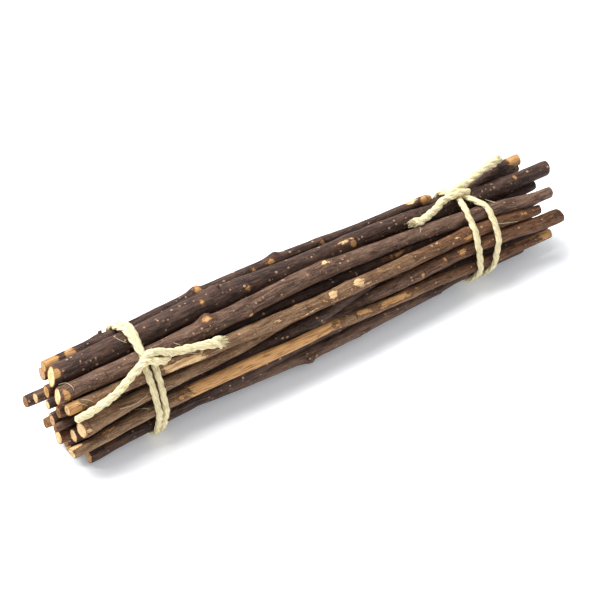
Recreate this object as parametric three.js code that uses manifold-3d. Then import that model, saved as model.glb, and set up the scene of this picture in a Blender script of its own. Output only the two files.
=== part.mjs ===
// A bundle of cut fruit-tree twigs, laid down and held by two ties of sisal twine.
// Millimetres. +X runs along the bundle, +Z is up, the floor is z = 0, the front is -Y.
import * as THREE from 'three';
import * as BufferGeometryUtils from 'three/addons/utils/BufferGeometryUtils.js';
import Module from 'manifold-3d';

// ---- driving dimensions -------------------------------------------------------------------
const FIRST_STATION = -105; // cross-sections are laid out every STATION_STEP along X
const STATION_STEP = 15;
const STATION_COUNT = 16;
const ROW_STATIONS = [-95, -66, -35, 0, 35, 66, 95]; // where a twig's hand-set rows give its place
const SHORT_ROW_STATIONS = [-95, -66, 0, 66, 95]; // and where the shorter rows do

const SECTION_TURN = THREE.MathUtils.degToRad(46.5); // 'across' rises to the back, 'out' to the front
const AXIS_HEIGHT = 17.5; // height of the line that across and out are measured from

const GAP = 0.35; // clear space left between neighbouring pieces
const FACET_ALLOWANCE = 0.06; // and a little more while packing, for the facets
const TWIG_SIDES = 8;

const TWINE_RADIUS = 1.25;
const TAUT_HALF = 0.9; // half the thickness of the turns, which are pulled flat on the twigs
const TWINE_SIDES = 6;
const HEXAGON_INNER = Math.sin(Math.PI / 3); // height of a hexagon's corners above its middle
const SLIVER = 0.03; // creases finer than this are smoothed out of a knot
const TWINE_GAP = 0.5; // between the taut turns and the twigs
const FLOOR_SLAB = [300, 80, 20];
const PRESSED = 0.2; // how far the underside of each tie is pressed flat on the floor
const TIED_CLEARANCE = 2 * TAUT_HALF + TWINE_GAP - PRESSED; // twigs above the floor at a tie
const LOOSE_CLEARANCE = 0.8; // and away from the ties

const GIRTH_DIRECTIONS = 144; // directions in which the taut turns are tried against the twigs
const LEAST_FACING = 0.2;
const TURN_POINTS = 32;
const TURN_STEPS = 38;

const LEFT_TIE_X = -65.5;
const RIGHT_TIE_X = 67;
const TIE_REACH = 10; // length of bundle that a tie takes up on each side of its middle
const LEFT_HOLD = { across: -1.2, out: 1.0, bore: 17.8 }; // circle that a tie draws the twigs into
const RIGHT_HOLD = { across: -1.4, out: -1.4, bore: 14.7 };
const END_SLOPE = 0.4; // how much of its last slope a twig keeps beyond its rows

const PACKING_ROUNDS = 900;
const SETTLING_SHARE = 0.7; // share of the rounds in which the twigs are also drawn back
const FIRM = 30; // how hard a twig is drawn back to its rows, for one that shows
const LOOSE = 1; // and for one inside the bundle
const PULL = 0.004; // share of the way drawn back in a round, for a loose twig
const STIFFNESS = 0.3;

// ---- finishes -----------------------------------------------------------------------------
const bark = (color) => new THREE.MeshStandardMaterial({ color, roughness: 0.75, metalness: 0 });
const DARK_BARK = bark(0x4a3636);
const GREY_BARK = bark(0x5d4a48);
const RED_BARK = bark(0x5e3a28);
const PEELED_WOOD = new THREE.MeshStandardMaterial({ color: 0xc08a4e, roughness: 0.6, metalness: 0 });
const TWINE = new THREE.MeshStandardMaterial({ color: 0xe8ddb0, roughness: 0.9, metalness: 0 });

// ---- the twigs ----------------------------------------------------------------------------
// ends: X of the two cut ends; radii, across, out: its half thickness and the place of its middle
// in the turned section at the row stations; hold: how firmly it keeps that place when packed.
const TWIGS = [
  { name: 'twig_thick_front', bark: DARK_BARK, ends: [-94, 105], hold: FIRM,
    radii: [3.4, 3.5, 3.75, 2.9, 2.9, 2.75, 2.6],
    across: [9.5, 10.0, 11.2, 10.4, 10.2, 7.9, 7.0], out: [9.5, 10.0, 9.9, 8.7, 5.8, 2.4, 3.4] },
  { name: 'twig_front_upper', bark: GREY_BARK, ends: [-96, 99], hold: FIRM,
    radii: [2.65, 2.75, 2.9, 2.9, 2.3, 2.45, 1.95],
    across: [3.2, 3.3, 4.35, 5.75, 4.5, 2.5, -1.0], out: [12.5, 13.2, 13.2, 13.0, 10.5, 8.2, 8.8] },
  { name: 'twig_front_lower', bark: RED_BARK, ends: [-95, 93], hold: FIRM,
    radii: [1.9, 2.0, 2.35, 2.3, 2.4, 2.3, 1.65],
    across: [-1.75, -2.15, -2.9, -3.4, -3.05, -2.7, -5.0], out: [12.6, 13.0, 13.1, 13.2, 11.0, 9.2, 7.6] },
  { name: 'twig_top_back', bark: GREY_BARK, ends: [-92.5, 59.5], hold: FIRM,
    radii: [1.9, 1.8, 1.9, 1.9, 1.6, 1.4, 1.4],
    across: [13.3, 13.8, 14.9, 14.8, 13.6, 13.3, 13.2], out: [3.4, 3.2, 2.8, 3.2, 1.2, 0.2, 0] },
  { name: 'twig_slim_dark', bark: DARK_BARK, ends: [-97.5, 99.5], hold: FIRM,
    radii: [1.55, 1.6, 1.7, 1.7, 1.6, 1.5, 1.5],
    across: [2.1, 1.4, 0.8, 0.6, 0.6, 0.2, 3.2], out: [6.2, 8.6, 9.2, 10.0, 7.8, 4.4, 1.2] },
  { name: 'twig_front_left', bark: GREY_BARK, ends: [-93, 88], hold: FIRM,
    radii: [2.5, 2.1, 1.75, 1.6, 1.5, 1.5, 1.4],
    across: [-9.35, -7.0, -6.6, -4.8, -4.2, -4.6, -5.0], out: [11.5, 11.0, 10.4, 7.4, 2.8, 1.0, 0.6] },
  { name: 'twig_pair_left', bark: GREY_BARK, ends: [-93.7, 91], hold: FIRM,
    radii: [2.4, 2.1, 1.85, 1.75, 1.65, 1.6, 1.5],
    across: [-9.75, -8.7, -8.6, -7.4, -4.3, -4.4, -6.0], out: [6.3, 3.2, 6.0, 11.0, 5.6, 3.6, 2.4] },
  { name: 'twig_front_right', bark: RED_BARK, ends: [-97.7, 100], hold: FIRM,
    radii: [1.4, 1.7, 1.8, 1.9, 2.05, 2.15, 2.35],
    across: [-5.5, -5.2, -4.8, -8.8, -7.8, -7.3, -9.4], out: [4.5, 6.0, 4.6, 5.0, 9.4, 7.8, 7.0] },
  { name: 'twig_peeled', bark: PEELED_WOOD, ends: [-96.6, 97], hold: FIRM,
    radii: [1.8, 2.15, 1.95, 1.65, 1.7, 1.9, 1.6],
    across: [-14.3, -12.1, -11.55, -11.2, -11.85, -13.2, -13.8], out: [6.0, 7.6, 9.6, 9.6, 7.0, 3.4, 1.4] },
  { name: 'twig_low_left', bark: DARK_BARK, ends: [-89, 99], hold: FIRM,
    radii: [1.9, 1.85, 1.95, 1.9, 1.8, 1.7, 1.5],
    across: [-18.0, -16.4, -14.6, -12.3, -11.5, -10.2, -11.4], out: [-1.5, 0.0, 3.5, 4.5, 2.2, -0.6, -2.0] },
  { name: 'twig_low_right', bark: DARK_BARK, ends: [-92, 86], hold: FIRM,
    radii: [1.8, 1.8, 1.9, 2.4, 2.2, 1.85, 1.5],
    across: [-14.6, -14.0, -16.4, -16.9, -15.5, -14.1, -14.4], out: [-3.0, -4.4, -1.0, 0.6, 0.4, -1.6, -1.4] },
  { name: 'twig_top_right', bark: DARK_BARK, ends: [-92, 98.5], hold: FIRM,
    radii: [2.25, 2.0, 1.9, 1.9, 1.9, 1.9, 2.1],
    across: [11.6, 10.6, 10.0, 9.6, 10.0, 11.3, 13.6], out: [-1.0, -1.6, -1.0, 0.0, -2.0, -2.6, 0.2] },
  { name: 'twig_top_under', bark: GREY_BARK, ends: [-86, 99], hold: LOOSE, radii: [2.0, 2.0, 1.9, 1.8, 1.7],
    across: [9.2, 9.0, 9.4, 8.0, 10.6], out: [-5.6, -5.4, -4.6, -6.0, -3.6] },
  { name: 'twig_long_left', bark: DARK_BARK, ends: [-99.5, 94], hold: LOOSE, radii: [1.95, 1.95, 1.9, 1.7, 1.6],
    across: [5.8, 5.2, 4.6, 3.6, 4.2], out: [-4.2, -4.0, -3.6, -6.2, -6.0] },
  { name: 'twig_core_high', bark: GREY_BARK, ends: [-98, 96], hold: LOOSE, radii: [1.65, 1.7, 1.7, 1.6, 1.5],
    across: [5.6, 5.2, 5.4, 4.8, 5.6], out: [1.0, 0.6, 0.8, -3.0, -2.6] },
  { name: 'twig_under_thick', bark: RED_BARK, ends: [-95.6, 90], hold: LOOSE, radii: [1.9, 1.8, 1.7, 1.6, 1.5],
    across: [5.3, 5.4, 3.4, 3.6, 5.0], out: [5.4, 5.6, 7.0, 0.8, 1.0] },
  { name: 'twig_core_front', bark: DARK_BARK, ends: [-96, 97.5], hold: LOOSE, radii: [1.7, 1.7, 1.7, 1.6, 1.5],
    across: [-1.2, -1.8, -1.4, -1.4, -1.0], out: [7.6, 7.4, 5.8, 1.2, 3.0] },
  { name: 'twig_core_middle', bark: GREY_BARK, ends: [-96.5, 93], hold: LOOSE, radii: [1.7, 1.8, 1.8, 1.7, 1.6],
    across: [-2.9, -1.9, -0.8, -0.4, 0.2], out: [2.2, 3.0, 3.2, 1.2, 1.0] },
  { name: 'twig_core_back', bark: DARK_BARK, ends: [-96, 98], hold: LOOSE, radii: [1.6, 1.7, 1.8, 1.7, 1.6],
    across: [-2.8, -1.6, 0.0, 0.4, 1.0], out: [-5.0, -3.6, -3.0, -3.4, -3.2] },
  { name: 'twig_core_low', bark: RED_BARK, ends: [-96.5, 95], hold: LOOSE, radii: [2.15, 2.0, 1.8, 1.7, 1.6],
    across: [-9.3, -8.0, -6.6, -6.0, -5.6], out: [1.3, 0.6, 1.0, 0.0, -0.4] },
  { name: 'twig_low_core', bark: DARK_BARK, ends: [-93, 96], hold: LOOSE, radii: [2.2, 2.0, 1.9, 1.7, 1.6],
    across: [-10.0, -9.8, -10.6, -9.6, -10.4], out: [-3.0, -3.2, -2.8, -3.6, -4.2] },
  { name: 'twig_floor_front', bark: DARK_BARK, ends: [-91, 95], hold: LOOSE, radii: [2.4, 2.3, 2.1, 2.0, 1.8],
    across: [-11.6, -10.6, -12.2, -9.4, -10.0], out: [-7.2, -7.0, -6.0, -7.4, -7.8] },
  { name: 'twig_floor_middle', bark: GREY_BARK, ends: [-91, 92], hold: LOOSE, radii: [2.5, 2.4, 2.2, 2.0, 1.9],
    across: [-7.3, -7.6, -7.4, -7.3, -6.9], out: [-10.6, -11.0, -10.1, -11.8, -11.5] },
  { name: 'twig_floor_back', bark: RED_BARK, ends: [-91, 99], hold: LOOSE, radii: [2.1, 2.2, 2.2, 2.1, 2.1],
    across: [-2.4, -2.0, -2.6, -1.6, -1.4], out: [-11.2, -10.6, -10.4, -9.8, -9.6] },
  { name: 'twig_back_low', bark: DARK_BARK, ends: [-88, 94], hold: LOOSE, radii: [2.3, 2.3, 2.2, 2.0, 1.9],
    across: [2.8, 2.6, 3.0, 2.8, 3.0], out: [-10.4, -9.8, -10.2, -9.0, -9.2] },
  { name: 'twig_back_middle', bark: GREY_BARK, ends: [-86, 97], hold: LOOSE, radii: [2.3, 2.2, 2.1, 1.9, 1.8],
    across: [7.4, 7.0, 8.2, 6.6, 7.6], out: [-8.4, -8.2, -8.6, -6.8, -6.6] },
];

const stationX = (index) => FIRST_STATION + STATION_STEP * index;

// Smooth value of a hand-set row at any X.
function along(values, x) {
  const stations = values.length === ROW_STATIONS.length ? ROW_STATIONS : SHORT_ROW_STATIONS;
  const last = stations.length - 1;
  const beyond = Math.max(stations[0] - x, x - stations[last], 0);
  if (beyond > 0) {
    const [edge, inner] = x < stations[0] ? [0, 1] : [last, last - 1];
    const slope = (values[edge] - values[inner]) / Math.abs(stations[edge] - stations[inner]);
    return values[edge] + slope * beyond * END_SLOPE;
  }
  const i = Math.min(stations.findLastIndex((station) => station <= x), last - 1);
  const t = (x - stations[i]) / (stations[i + 1] - stations[i]);
  const smooth = t * t * (3 - 2 * t);
  return THREE.MathUtils.lerp(values[i], values[i + 1], 0.5 * (t + smooth));
}

const twigRadius = (twig, x) => along(twig.radii, x);

// Height of the lowest point of a round piece above the floor.
function footHeight(place, radius) {
  const { across, out } = place;
  return AXIS_HEIGHT + across * Math.sin(SECTION_TURN) + out * Math.cos(SECTION_TURN) - radius;
}

// How tightly the ties hold the twigs at X: the middle of the tied circle and its radius.
function tieHold(x, twig = null) {
  if (twig && (x < twig.ends[0] || x > twig.ends[1])) return null;
  if (Math.abs(x - LEFT_TIE_X) < TIE_REACH) return LEFT_HOLD;
  if (Math.abs(x - RIGHT_TIE_X) < TIE_REACH) return RIGHT_HOLD;
  return null;
}

// Places of every twig at every station: starts from the hand-set rows, then the twigs push each
// other clear, stay off the floor and inside the ties, and keep their lines smooth.
function packTwigs() {
  const wished = TWIGS.map((twig) => [...Array(STATION_COUNT).keys()].map((i) => ({
    across: along(twig.across, stationX(i)),
    out: along(twig.out, stationX(i)),
  })));
  const places = wished.map((row) => row.map((place) => ({ ...place })));
  for (let round = 0; round < PACKING_ROUNDS; round += 1) {
    const settling = round < PACKING_ROUNDS * SETTLING_SHARE;
    for (let i = 0; i < STATION_COUNT; i += 1) {
      separate(places, i);
      confine(places, i);
    }
    if (settling) {
      springBack(places, wished);
      straighten(places, wished);
    }
  }
  return places;
}

function present(twig, x) {
  return x > twig.ends[0] - STATION_STEP && x < twig.ends[1] + STATION_STEP;
}

// Clears every pair of twigs at a station and half way to the next one, where they may cross.
function separate(places, i) {
  for (let a = 0; a < TWIGS.length; a += 1) {
    for (let b = a + 1; b < TWIGS.length; b += 1) {
      if (!present(TWIGS[a], stationX(i)) || !present(TWIGS[b], stationX(i))) continue;
      const shareA = TWIGS[b].hold / (TWIGS[a].hold + TWIGS[b].hold);
      for (const next of [i, Math.min(i + 1, STATION_COUNT - 1)]) {
        const x = (stationX(i) + stationX(next)) / 2;
        const needed = twigRadius(TWIGS[a], x) + twigRadius(TWIGS[b], x) + GAP + FACET_ALLOWANCE;
        pushApart([places[a][i], places[a][next]], [places[b][i], places[b][next]], needed, shareA);
      }
    }
  }
}

// Moves the places of two twigs apart until their means are as far from each other as needed.
function pushApart([a, aNext], [b, bNext], needed, shareA) {
  const dAcross = (b.across + bNext.across - a.across - aNext.across) / 2;
  const dOut = (b.out + bNext.out - a.out - aNext.out) / 2;
  const distance = Math.hypot(dAcross, dOut) || 1e-6;
  if (distance >= needed) return;
  const push = (needed - distance) / distance;
  for (const place of new Set([a, aNext])) {
    place.across -= dAcross * push * shareA;
    place.out -= dOut * push * shareA;
  }
  for (const place of new Set([b, bNext])) {
    place.across += dAcross * push * (1 - shareA);
    place.out += dOut * push * (1 - shareA);
  }
}

function confine(places, i) {
  const x = stationX(i);
  TWIGS.forEach((twig, k) => {
    const hold = tieHold(x, twig);
    const clearance = hold ? TIED_CLEARANCE : LOOSE_CLEARANCE;
    const place = places[k][i];
    const radius = twigRadius(twig, x);
    if (hold) {
      const dAcross = place.across - hold.across;
      const dOut = place.out - hold.out;
      const distance = Math.hypot(dAcross, dOut);
      const allowed = hold.bore - radius;
      if (distance > allowed) {
        place.across -= dAcross * (1 - allowed / distance);
        place.out -= dOut * (1 - allowed / distance);
      }
    }
    const sunk = clearance - footHeight(place, radius);
    if (sunk > 0) {
      place.across += sunk * Math.sin(SECTION_TURN);
      place.out += sunk * Math.cos(SECTION_TURN);
    }
  });
}

function springBack(places, wished) {
  TWIGS.forEach((twig, k) => {
    const pull = Math.min(PULL * twig.hold, 1);
    places[k].forEach((place, i) => {
      place.across += (wished[k][i].across - place.across) * pull;
      place.out += (wished[k][i].out - place.out) * pull;
    });
  });
}

// Evens out how far each twig has been moved from its wished line, so that it stays stiff.
function straighten(places, wished) {
  places.forEach((row, k) => {
    const moved = row.map((place, i) => [
      place.across - wished[k][i].across,
      place.out - wished[k][i].out,
    ]);
    for (let i = 1; i < STATION_COUNT - 1; i += 1) {
      for (const [axis, key] of [[0, 'across'], [1, 'out']]) {
        const mean = (moved[i - 1][axis] + moved[i + 1][axis]) / 2;
        row[i][key] += (mean - moved[i][axis]) * STIFFNESS;
      }
    }
  });
}

// Where a twig's centre is in the section at X.
function placeAt(row, x) {
  const position = THREE.MathUtils.clamp((x - FIRST_STATION) / STATION_STEP, 0, STATION_COUNT - 1.001);
  const i = Math.floor(position);
  const t = position - i;
  return {
    across: THREE.MathUtils.lerp(row[i].across, row[i + 1].across, t),
    out: THREE.MathUtils.lerp(row[i].out, row[i + 1].out, t),
  };
}

// A place in the section at X, in model coordinates.
function sectionPoint(x, across, out) {
  return new THREE.Vector3(
    x,
    across * Math.cos(SECTION_TURN) - out * Math.sin(SECTION_TURN),
    AXIS_HEIGHT + across * Math.sin(SECTION_TURN) + out * Math.cos(SECTION_TURN),
  );
}

// X of each ring of a twig: its two cut ends and every station between them.
function ringPlaces(twig) {
  const stations = [...Array(STATION_COUNT).keys()].map(stationX);
  const inner = stations.filter((x) => x > twig.ends[0] + 2 && x < twig.ends[1] - 2);
  return [twig.ends[0], ...inner, twig.ends[1]];
}

// A cylinder whose rings are moved onto the twig's line and given its taper.
function twigMesh(twig, row) {
  const xs = ringPlaces(twig);
  const pieces = xs.length - 1;
  const geometry = new THREE.CylinderGeometry(1, 1, 1, TWIG_SIDES, pieces);
  const position = geometry.attributes.position;
  for (let i = 0; i < position.count; i += 1) {
    const x = xs[Math.round((position.getY(i) + 0.5) * pieces)];
    const place = placeAt(row, x);
    const centre = sectionPoint(x, place.across, place.out);
    const radius = twigRadius(twig, x);
    position.setXYZ(i, x, centre.y + position.getZ(i) * radius, centre.z + position.getX(i) * radius);
  }
  const mesh = new THREE.Mesh(plain(geometry), twig.bark);
  mesh.name = twig.name;
  return mesh;
}

// ---- the twine ties -----------------------------------------------------------------------
const wasm = await Module();
wasm.setup();

function plain(geometry) {
  geometry.deleteAttribute('normal');
  geometry.deleteAttribute('uv');
  return BufferGeometryUtils.mergeVertices(geometry, 1e-4);
}

function toSolid(geometry) {
  const merged = plain(geometry);
  return new wasm.Manifold(new wasm.Mesh({
    numProp: 3,
    vertProperties: new Float32Array(merged.attributes.position.array),
    triVerts: new Uint32Array(merged.index.array),
  }));
}

function toGeometry(solid) {
  const mesh = solid.getMesh();
  const geometry = new THREE.BufferGeometry();
  geometry.setAttribute('position', new THREE.BufferAttribute(mesh.vertProperties, 3));
  geometry.setIndex(new THREE.BufferAttribute(mesh.triVerts, 1));
  return geometry;
}

// A length of twine along a smooth line through points; half is its half thickness square to X.
function strand(points, steps, half = TWINE_RADIUS) {
  const ring = [...Array(TWINE_SIDES).keys()].map((i) => {
    const angle = (2 * Math.PI * i) / TWINE_SIDES;
    return new THREE.Vector2(TWINE_RADIUS * Math.cos(angle), (half * Math.sin(angle)) / HEXAGON_INNER);
  });
  const geometry = new THREE.ExtrudeGeometry(new THREE.Shape(ring), {
    steps,
    extrudePath: new THREE.CatmullRomCurve3(points, false, 'centripetal'),
    bevelEnabled: false,
  });
  return toSolid(geometry);
}

// Distance from the tied circle's middle to a taut twine's centre line, in direction angle
// (0 = out, 90 degrees = across), over all the twigs at X.
function girthRadius(places, x, angle, half) {
  const hold = tieHold(x);
  let nearest = Infinity;
  for (let d = 0; d < GIRTH_DIRECTIONS; d += 1) {
    const normal = (2 * Math.PI * d) / GIRTH_DIRECTIONS;
    const facing = Math.cos(angle - normal);
    if (facing < LEAST_FACING) continue;
    let reach = -Infinity;
    TWIGS.forEach((twig, k) => {
      if (x < twig.ends[0] || x > twig.ends[1]) return;
      const centre = placeAt(places[k], x);
      const far = (centre.out - hold.out) * Math.cos(normal)
        + (centre.across - hold.across) * Math.sin(normal)
        + twigRadius(twig, x);
      reach = Math.max(reach, far);
    });
    nearest = Math.min(nearest, (reach + TWINE_GAP + half) / facing);
  }
  return nearest;
}

// A point of twine of that half thickness lying on the twigs at X, in degrees round them.
function girthPoint(places, x, degrees, half) {
  const angle = THREE.MathUtils.degToRad(degrees);
  const hold = tieHold(x);
  const radius = girthRadius(places, x, angle, half);
  return sectionPoint(x, hold.across + radius * Math.sin(angle), hold.out + radius * Math.cos(angle));
}

// One turn round the bundle from one angle to another, while it wanders along X: sideways holds
// how far it lies from tieX at evenly spaced angles.
function turn(places, tieX, fromDegrees, toDegrees, sideways) {
  const points = [...Array(TURN_POINTS + 1).keys()].map((i) => {
    const t = i / TURN_POINTS;
    const at = Math.min(t * (sideways.length - 1), sideways.length - 1.001);
    const k = Math.floor(at);
    const x = tieX + THREE.MathUtils.lerp(sideways[k], sideways[k + 1], at - k);
    return girthPoint(places, x, THREE.MathUtils.lerp(fromDegrees, toDegrees, t), TAUT_HALF);
  });
  return strand(points, TURN_STEPS, TAUT_HALF);
}

// The underside of the turns is pressed flat where the bundle lies on it.
function pressedFlat(solid) {
  const slab = new THREE.BoxGeometry(...FLOOR_SLAB);
  slab.translate(0, 0, -FLOOR_SLAB[2] / 2);
  return solid.subtract(toSolid(slab));
}

function tieMesh(name, strands) {
  const joined = pressedFlat(strands.reduce((sum, next) => sum.add(next))).simplify(SLIVER);
  // Only the outer skin is kept, so a pocket closed in by the knot is filled.
  const [whole] = joined.decompose().sort((a, b) => b.volume() - a.volume());
  const mesh = new THREE.Mesh(toGeometry(whole), TWINE);
  mesh.name = name;
  return mesh;
}

// A point beside the knot: x is along the bundle from the tie, up and off are across and out.
function fromKnot(knot, x, up, off) {
  return knot.clone().add(sectionPoint(x, up, off)).sub(sectionPoint(0, 0, 0));
}

function strandFromKnot(knot, steps, offsets) {
  return strand(offsets.map(([x, up, off]) => fromKnot(knot, x, up, off)), steps);
}

// The twine lies twice round the twigs; both ends come through the knot at the front.
function leftTie(places) {
  const x = LEFT_TIE_X;
  const angle = 12;
  const knot = girthPoint(places, x, angle, TWINE_RADIUS);
  return tieMesh('twine_tie_left', [
    turn(places, x, angle, angle + 360, [-1.2, -0.4, 0.4, 0.6, 0.6, 0.5, 0.3, -0.8, -1.7]),
    turn(places, x, angle, angle + 360, [-1.7, 0.9, 1.8, 2.2, 2.4, 2.2, 1.7, 1.3, 1.2]),
    strandFromKnot(knot, 10, [[-3.6, -0.3, 0.4], [-0.8, 2.1, 1.0], [3.0, 2.7, 0.6], [5.6, -0.1, 0],
      [3.4, -3.1, -0.4], [0.4, -1.9, 0.2]]),
    strandFromKnot(knot, 4, [[-3.2, -0.6, 0.2], [-0.6, 0.2, 0.9], [2.6, 1.2, 0.4]]),
    strandFromKnot(knot, 12, [[-1.4, 0.5, 0.4], [-6, -1.7, 0.2], [-13, -5.1, -0.8], [-20, -6.9, -1.6],
      [-27, -7.9, -2.2], [-32.5, -7.7, -2.6]]),
    strandFromKnot(knot, 12, [[0.8, 1.9, -0.1], [4.6, 0.3, 0.2], [9, -1.5, 0.1], [15, -2.1, 0],
      [21, -3.3, -0.2], [28, -4.5, -0.4]]),
  ]);
}

// The second tie is knotted on top of the bundle.
function rightTie(places) {
  const x = RIGHT_TIE_X;
  const angle = 64;
  const knot = girthPoint(places, x, angle, TWINE_RADIUS);
  return tieMesh('twine_tie_right', [
    turn(places, x, angle, angle - 360, [1.2, 5.2, 4.9, 2.6, 0.4, 0.6, 1.0, 1.0, 0.4]),
    turn(places, x, angle, angle - 360, [0.4, -3.0, -3.9, -3.2, -4.2, -3.0, -1.8, -1.2, -0.6]),
    strandFromKnot(knot, 8, [[3.0, -0.8, 0.8], [0.8, 0.8, 0.4], [-2.0, 0.6, 0.4], [-1.6, -0.8, 1.2]]),
    strandFromKnot(knot, 12, [[-1.0, 0.2, 1.1], [-7.2, -0.8, 2.5], [-11, -2.2, 3.5], [-15.3, -3.2, 4.5],
      [-19.5, -4.0, 5.3], [-27, -2.9, 6.1]]),
    strandFromKnot(knot, 12, [[0.8, 0.4, 0.6], [5, 1.6, 0.6], [11, 3.0, 0.5], [18, 4.2, 0.4],
      [25, 4.8, 0.3]]),
  ]);
}

// ---- assembly -----------------------------------------------------------------------------
const bundle = new THREE.Group();
const places = packTwigs();
TWIGS.forEach((twig, k) => bundle.add(twigMesh(twig, places[k])));
bundle.add(leftTie(places));
bundle.add(rightTie(places));

// The origin is the middle of the bundle's box in plan, on the floor.
const middle = new THREE.Box3().setFromObject(bundle, true).getCenter(new THREE.Vector3());
bundle.position.set(-middle.x, -middle.y, 0);

export default bundle;
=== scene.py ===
"""Looks of a bundle of cut fruit-tree twigs held by two ties of sisal twine, on a pale studio floor."""

import logging
import math
from dataclasses import dataclass, field
from enum import Enum

import bpy
import numpy as np
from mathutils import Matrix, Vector


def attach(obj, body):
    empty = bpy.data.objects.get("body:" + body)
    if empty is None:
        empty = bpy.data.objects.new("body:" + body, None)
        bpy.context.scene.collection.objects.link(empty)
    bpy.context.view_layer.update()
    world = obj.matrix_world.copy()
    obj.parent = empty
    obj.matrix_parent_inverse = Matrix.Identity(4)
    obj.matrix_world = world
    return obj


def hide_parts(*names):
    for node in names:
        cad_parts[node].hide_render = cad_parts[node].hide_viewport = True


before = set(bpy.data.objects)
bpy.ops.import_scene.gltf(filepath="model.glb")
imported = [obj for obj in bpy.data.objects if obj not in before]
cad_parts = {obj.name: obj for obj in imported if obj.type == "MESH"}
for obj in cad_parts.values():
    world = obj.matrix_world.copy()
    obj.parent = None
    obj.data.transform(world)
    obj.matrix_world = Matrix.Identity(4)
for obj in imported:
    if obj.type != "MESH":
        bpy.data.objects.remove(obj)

LOG = logging.getLogger("bundle")
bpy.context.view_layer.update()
MM = 0.001

SECTION_TURN = math.radians(46.5)
SECTION_MIDDLE = (0.98, 17.5)
ACROSS = np.array([0.0, math.cos(SECTION_TURN), math.sin(SECTION_TURN)])
OUT = np.array([0.0, -math.sin(SECTION_TURN), math.cos(SECTION_TURN)])


def section_point(x: float, across: float, out: float) -> np.ndarray:
    """The point, in millimetres, at a place in the turned section of the bundle.

    Args:
        x: Distance along the bundle.
        across: How far up the back of the section the point lies.
        out: How far out of its front the point lies.

    Returns:
        The point as x, y, z.
    """
    middle = np.array([x, SECTION_MIDDLE[0], SECTION_MIDDLE[1]])
    return middle + ACROSS * across + OUT * out


def section_step(x: float, across: float, out: float) -> np.ndarray:
    """How far a step along the bundle, across its section and out of it moves a point."""
    return section_point(x, across, out) - section_point(0.0, 0.0, 0.0)


def unit(vectors: np.ndarray) -> np.ndarray:
    """The vectors, one a row, brought to length 1."""
    return vectors / np.maximum(np.linalg.norm(vectors, axis=-1, keepdims=True), 1e-12)


def resample(points: np.ndarray, step: float) -> np.ndarray:
    """A smooth line through the points, with its own points evenly spaced.

    Args:
        points: The points the line goes through, one a row.
        step: The wanted distance between points of the result.

    Returns:
        The points of the smooth line.
    """
    padded = np.vstack([2 * points[0] - points[1], points, 2 * points[-1] - points[-2]])
    fine = []
    for p0, p1, p2, p3 in zip(padded[:-3], padded[1:-2], padded[2:-1], padded[3:]):
        t = np.linspace(0.0, 1.0, 12, endpoint=False)[:, None]
        fine.append(0.5 * (2 * p1 + (p2 - p0) * t + (2 * p0 - 5 * p1 + 4 * p2 - p3) * t**2
                           + (3 * p1 - p0 - 3 * p2 + p3) * t**3))
    line = np.vstack([*fine, points[-1:]])
    run = np.concatenate([[0.0], np.cumsum(np.linalg.norm(np.diff(line, axis=0), axis=1))])
    at = np.linspace(0.0, run[-1], max(int(run[-1] / step), 3) + 1)
    return np.stack([np.interp(at, run, line[:, k]) for k in range(3)], axis=1)


def side_vectors(line: np.ndarray) -> tuple[np.ndarray, np.ndarray]:
    """Two unit vectors square to a line at each of its points, carried along it without twisting."""
    ahead = unit(np.gradient(line, axis=0))
    first = np.cross(ahead[0], [0.3, 0.2, 1.0])
    sides = [first / np.linalg.norm(first)]
    for direction in ahead[1:]:
        carried = sides[-1] - direction * (sides[-1] @ direction)
        sides.append(carried / np.linalg.norm(carried))
    side = np.array(sides)
    return side, np.cross(ahead, side)


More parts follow.
